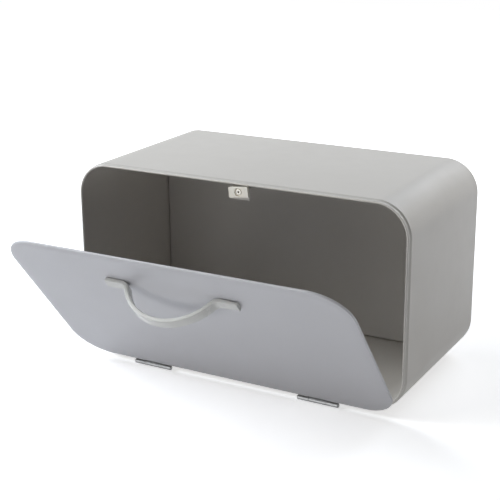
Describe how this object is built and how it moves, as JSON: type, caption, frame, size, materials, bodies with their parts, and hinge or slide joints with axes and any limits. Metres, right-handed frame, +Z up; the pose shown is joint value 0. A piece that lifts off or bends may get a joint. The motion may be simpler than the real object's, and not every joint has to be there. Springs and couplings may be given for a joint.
{
  "type": "bread box",
  "caption": "Sheet-steel bread box with rounded corners, a bottom-hinged drop-down door with a bowed strap handle, and a magnet catch under the top rim.",
  "frame": {"origin": "the middle of the whole part's box on the surface it stands on, door open 38.6 degrees as pictured", "axes": "+X to the right of someone who faces the door, +Y from the mouth to the back, +Z up"},
  "size_m": [0.34, 0.3026, 0.197],
  "materials": {
    "body_paint": "satin warm light-grey powder coat",
    "door_paint": "satin cool light-grey powder coat",
    "handle_paint": "satin cream-grey powder coat",
    "catch_coat": "smooth cream coat",
    "rivet_steel": "plain zinc-plated steel",
    "hinge_steel": "zinc-plated steel",
    "screw_steel": "zinc-plated steel",
    "foot_rubber": "matt black rubber"
  },
  "bodies": {
    "body": {"body_shell": "body_paint", "back_panel": "body_paint", "foot_front_left": "foot_rubber", "foot_front_right": "foot_rubber", "foot_rear_left": "foot_rubber", "foot_rear_right": "foot_rubber", "catch_magnet": "catch_coat", "catch_rivet": "rivet_steel", "catch_bracket": "body_paint", "hinge_body_leaf_left": "hinge_steel", "hinge_pin_left": "hinge_steel", "hinge_body_leaf_right": "hinge_steel", "hinge_pin_right": "hinge_steel"},
    "door": {"door_panel": "door_paint", "handle": "handle_paint", "handle_washer_left": "screw_steel", "handle_screw_left": "screw_steel", "handle_washer_right": "screw_steel", "handle_screw_right": "screw_steel", "hinge_door_leaf_left": "hinge_steel", "hinge_door_leaf_right": "hinge_steel"}
  },
  "joints": [
    {"name": "door_hinge", "type": "hinge", "parent": "body", "child": "door", "pos_m": [0, -0.0262, 0.00385], "axis": [1, 0, 0], "range_deg": [-38.6, 40]}
  ]
}
